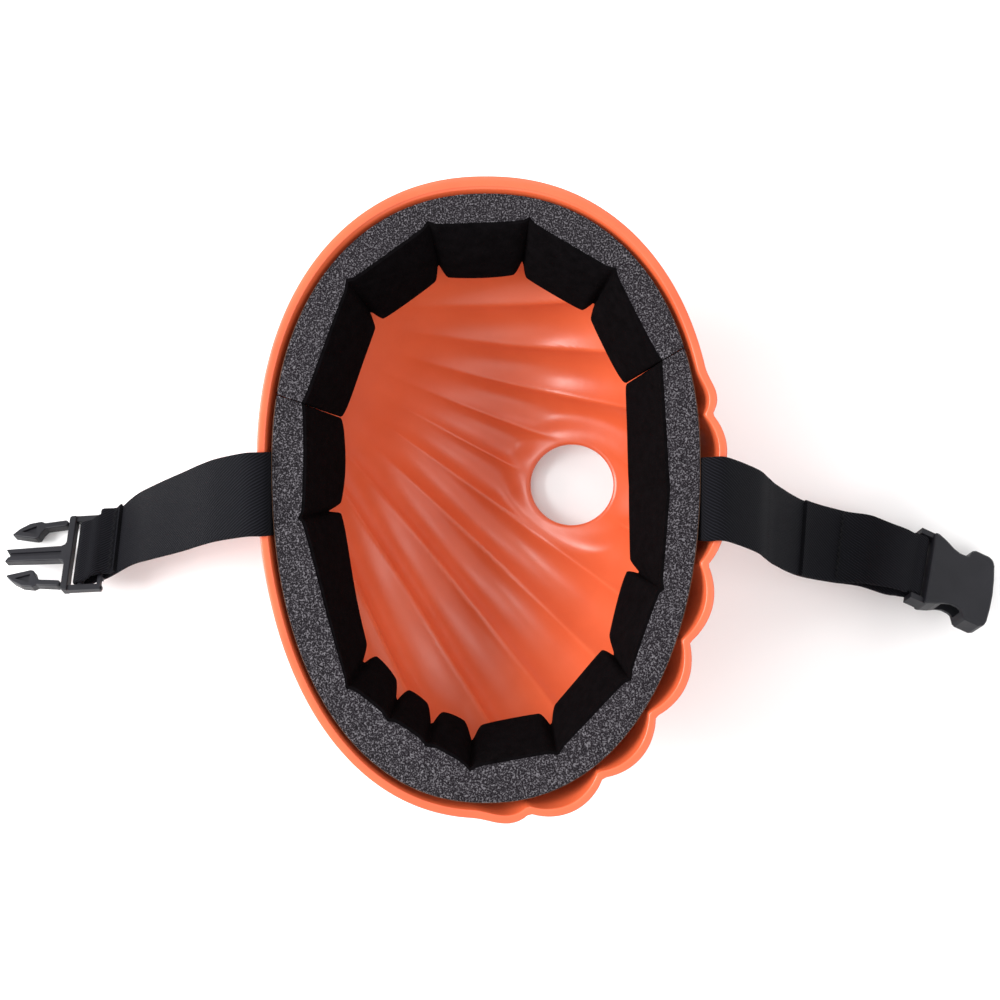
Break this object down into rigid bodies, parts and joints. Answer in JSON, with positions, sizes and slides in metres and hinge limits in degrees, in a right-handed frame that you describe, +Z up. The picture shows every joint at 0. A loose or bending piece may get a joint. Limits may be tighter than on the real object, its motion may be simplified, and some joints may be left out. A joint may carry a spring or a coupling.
{
  "type": "padded face mask",
  "caption": "Oval moulded face mask with a round eye opening, fan ribs, foam padding round its rim and elastic straps that end in a side-release buckle.",
  "frame": {"origin": "middle of the whole object's footprint, on the surface that it lies on", "axes": "+X to the wearer's right along the straps, +Y towards the forehead, +Z up, from the mask's front to its wearer"},
  "size_m": [0.3968, 0.2315, 0.0931],
  "materials": {
    "shell_orange": "satin, moulded",
    "foam_grey": "cut open-cell foam",
    "lining_black": "brushed knit",
    "tape_film": "adhesive tape",
    "elastic_black": "woven elastic",
    "thread_black": "polyester thread",
    "buckle_black": "moulded, fine grain"
  },
  "bodies": {
    "shell": {"face_shell": "shell_orange", "upper_foam": "foam_grey", "lower_foam": "foam_grey", "upper_lining": "lining_black", "lower_lining": "lining_black", "upper_foam_tape": "tape_film", "lower_foam_tape": "tape_film", "left_strap_anchor": "elastic_black", "right_strap_anchor": "elastic_black"},
    "left_strap_root": {"left_strap_inner": "elastic_black"},
    "left_strap_end": {"left_strap_outer": "elastic_black", "left_stitching": "thread_black"},
    "male_half": {"male_buckle": "buckle_black"},
    "upper_prong": {"upper_prong": "buckle_black"},
    "lower_prong": {"lower_prong": "buckle_black"},
    "right_strap_root": {"right_strap_inner": "elastic_black"},
    "right_strap_end": {"right_strap_outer": "elastic_black", "right_stitching": "thread_black"},
    "female_half": {"female_buckle": "buckle_black"}
  },
  "joints": [
    {"name": "left_strap_swing", "type": "hinge", "parent": "shell", "child": "left_strap_root", "pos_m": [-0.0829, 0.002, 0.0912], "axis": [0, 1, 0], "range_deg": [0, 140]},
    {"name": "left_strap_stretch", "type": "slide", "parent": "left_strap_root", "child": "left_strap_end", "axis": [-0.5778, -0.155, -0.8013], "range_m": [0, 0.02], "stiffness_N_per_m": 400},
    {"name": "male_buckle_tilt", "type": "hinge", "parent": "left_strap_end", "child": "male_half", "pos_m": [-0.166, -0.0215, 0.0116], "axis": [0.019, 0.8852, -0.4649], "range_deg": [0, 5]},
    {"name": "upper_prong_flex", "type": "hinge", "parent": "male_half", "child": "upper_prong", "pos_m": [-0.17484, -0.0102, 0.00414], "axis": [-0.1473, 0.4624, 0.8744], "range_deg": [0, 8], "stiffness_Nm_per_rad": 0.2},
    {"name": "lower_prong_flex", "type": "hinge", "parent": "male_half", "child": "lower_prong", "pos_m": [-0.17535, -0.03375, 0.0165], "axis": [0.1473, -0.4624, -0.8744], "range_deg": [0, 8], "stiffness_Nm_per_rad": 0.2},
    {"name": "right_strap_swing", "type": "hinge", "parent": "shell", "child": "right_strap_root", "pos_m": [0.0729, 0.0003, 0.0912], "axis": [0, -1, 0], "range_deg": [0, 140]},
    {"name": "right_strap_stretch", "type": "slide", "parent": "right_strap_root", "child": "right_strap_end", "axis": [0.4265, -0.1915, -0.884], "range_m": [0, 0.02], "stiffness_N_per_m": 400},
    {"name": "female_buckle_tilt", "type": "hinge", "parent": "right_strap_end", "child": "female_half", "pos_m": [0.1653, -0.0264, 0.0178], "axis": [-0.2609, -0.8122, 0.5219], "range_deg": [-20, 25]}
  ]
}
